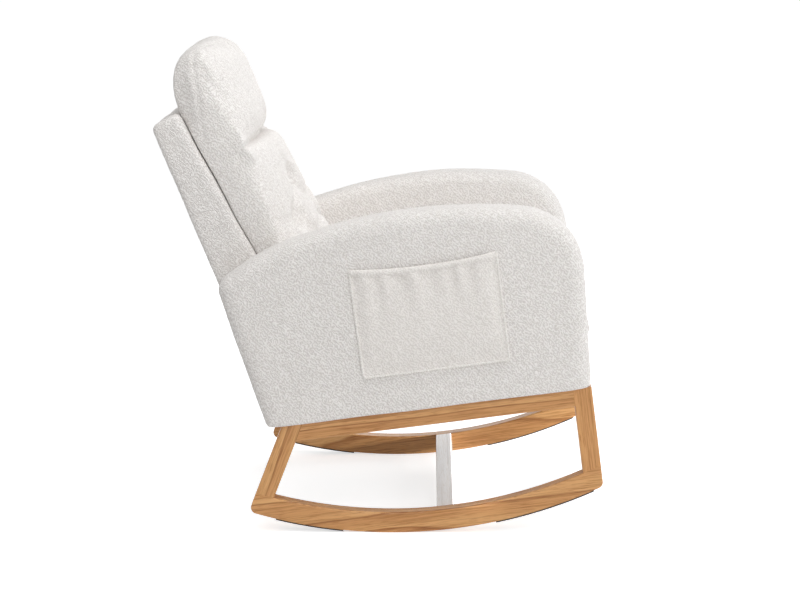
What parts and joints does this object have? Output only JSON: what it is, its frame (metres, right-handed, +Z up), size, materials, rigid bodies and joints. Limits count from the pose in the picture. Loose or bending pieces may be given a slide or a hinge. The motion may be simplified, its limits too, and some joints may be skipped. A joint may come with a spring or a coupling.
{
  "type": "upholstered rocking chair",
  "caption": "Upholstered rocking chair: padded arms with side pockets, seat cushion and tufted back with a head pillow, on two curved wooden rocker frames joined by a stretcher.",
  "frame": {"origin": "on the floor, under the middle of the chair's bounding box, with the chair at rest on its rockers", "axes": "+Z up, +Y towards the back of the chair, +X towards the sitter's left"},
  "size_m": [0.723, 0.9051, 0.9756],
  "materials": {
    "boucle": "white teddy boucle, short curled pile",
    "pocket_boucle": "white teddy boucle, one layer",
    "button_boucle": "white teddy boucle over a button blank",
    "rocker_wood": "warm brown stained wood, satin lacquer",
    "stretcher_wood": "pale wood, satin",
    "frame_timber": "planed softwood, unfinished",
    "plywood": "thin plywood, unfinished",
    "dowel_beech": "fluted hardwood dowel",
    "anti_slip": "thin dark rubber strip",
    "zinc_steel": "zinc plated",
    "spring_steel": "oiled spring wire",
    "clip_plastic": "white moulded plastic",
    "felt": "grey needle felt",
    "dust_cloth": "black non-woven cloth"
  },
  "bodies": {
    "root": {"arm_pad_left": "boucle", "arm_pad_right": "boucle", "front_apron": "boucle", "seat_cushion": "boucle", "outer_back": "boucle", "back_cushion": "boucle", "head_cushion": "boucle", "pocket_left": "pocket_boucle", "pocket_right": "pocket_boucle", "pocket_hem_left": "pocket_boucle", "pocket_hem_right": "pocket_boucle", "tuft_buttons": "button_boucle", "rocker_left": "rocker_wood", "rocker_right": "rocker_wood", "front_leg_left": "rocker_wood", "front_leg_right": "rocker_wood", "rear_leg_left": "rocker_wood", "rear_leg_right": "rocker_wood", "side_rail_left": "rocker_wood", "side_rail_right": "rocker_wood", "cross_stretcher": "stretcher_wood", "arm_board_left": "frame_timber", "arm_board_right": "frame_timber", "seat_front_rail": "frame_timber", "seat_rear_rail": "frame_timber", "seat_side_rail_left": "frame_timber", "seat_side_rail_right": "frame_timber", "corner_blocks": "frame_timber", "back_post_left": "frame_timber", "back_post_right": "frame_timber", "back_bottom_rail": "frame_timber", "back_middle_rail": "frame_timber", "back_top_rail": "frame_timber", "cushion_board": "plywood", "frame_dowels": "dowel_beech", "stretcher_dowels": "dowel_beech", "rocker_front_pads": "anti_slip", "rocker_rear_pads": "anti_slip", "base_bolts": "zinc_steel", "base_inserts": "zinc_steel", "arm_bolts": "zinc_steel", "post_bolts": "zinc_steel", "board_bolts": "zinc_steel", "back_frame_screws": "zinc_steel", "seat_springs": "spring_steel", "spring_clips": "clip_plastic", "board_spacers": "clip_plastic", "spring_felt": "felt", "dust_cover": "dust_cloth"}
  },
  "joints": []
}
